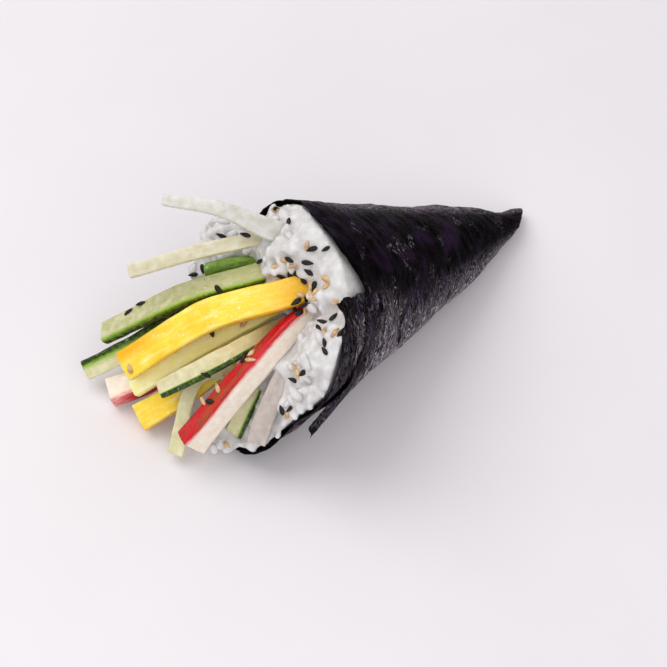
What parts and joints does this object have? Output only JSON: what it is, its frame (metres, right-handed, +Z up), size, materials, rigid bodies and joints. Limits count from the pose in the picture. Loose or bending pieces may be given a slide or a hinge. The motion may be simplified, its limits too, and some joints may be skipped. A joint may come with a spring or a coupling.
{
  "type": "temaki hand roll",
  "caption": "Cone of seaweed rolled round sushi rice, lying on its side, with strips of mango, cucumber, crab stick and radish fanning out of its mouth.",
  "frame": {"origin": "on the surface that the roll lies on, under the middle of its box", "axes": "+X along the roll from its open mouth to its closed tip, +Z up, +Y to the far side, away from the overlapping corner of the sheet"},
  "size_m": [0.154, 0.0756, 0.064],
  "materials": {
    "nori": "roasted seaweed, near black with an aubergine tint, crinkled and half glossy",
    "rice": "steamed short-grain rice, bluish white, sticky and translucent",
    "mango": "ripe mango flesh, wet, yellow with orange patches",
    "crab": "pressed fish stick, ivory and fibrous with one red dyed side",
    "cucumber": "cut cucumber, wet pale green flesh with a dark green skin",
    "radish": "raw white radish, translucent greenish white",
    "sesame_black": "black sesame seed, dull",
    "sesame_toasted": "toasted sesame seed, tan, half glossy"
  },
  "bodies": {
    "root": {"nori": "nori", "rice": "rice", "mango_upper": "mango", "mango_lower": "mango", "crab_long": "crab", "crab_short": "crab", "crab_side": "crab", "cucumber_upper": "cucumber", "cucumber_back": "cucumber", "cucumber_left": "cucumber", "cucumber_core": "cucumber", "cucumber_near": "cucumber", "cucumber_low": "cucumber", "cucumber_side": "cucumber", "radish_upper": "radish", "radish_lower": "radish"}
  },
  "joints": []
}
